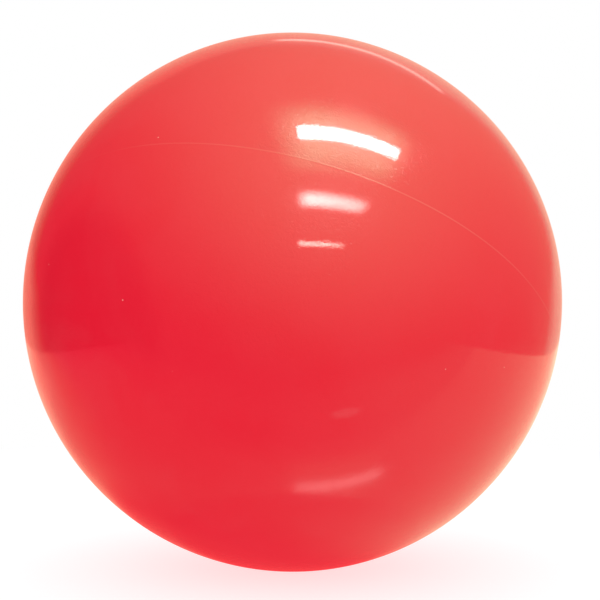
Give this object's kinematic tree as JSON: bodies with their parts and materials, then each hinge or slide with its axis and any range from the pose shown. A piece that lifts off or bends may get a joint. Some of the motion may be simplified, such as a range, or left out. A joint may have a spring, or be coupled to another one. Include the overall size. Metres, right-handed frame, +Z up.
{
  "type": "dodgeball",
  "caption": "Smooth glossy inflatable vinyl dodgeball with a raised mould parting line and a needle valve whose rubber stopper pulls out.",
  "frame": {"origin": "middle of the patch that the ball rests on, on the surface under it", "axes": "+Z up; the valve axis runs through the ball's centre and leans from +Z towards +Y; the parting line lies square to the valve axis"},
  "size_m": [0.2162, 0.216, 0.2154],
  "materials": {
    "vinyl_skin": "glossy moulded",
    "soft_vinyl": "satin moulded",
    "butyl_rubber": "matt moulded"
  },
  "bodies": {
    "ball": {"ball_shell": "vinyl_skin", "valve_sleeve": "soft_vinyl"},
    "stopper": {"valve_stopper": "butyl_rubber"}
  },
  "joints": [
    {"name": "stopper_pull", "type": "slide", "parent": "ball", "child": "stopper", "axis": [0, 0.549, 0.8358], "range_m": [0, 0.025]}
  ]
}
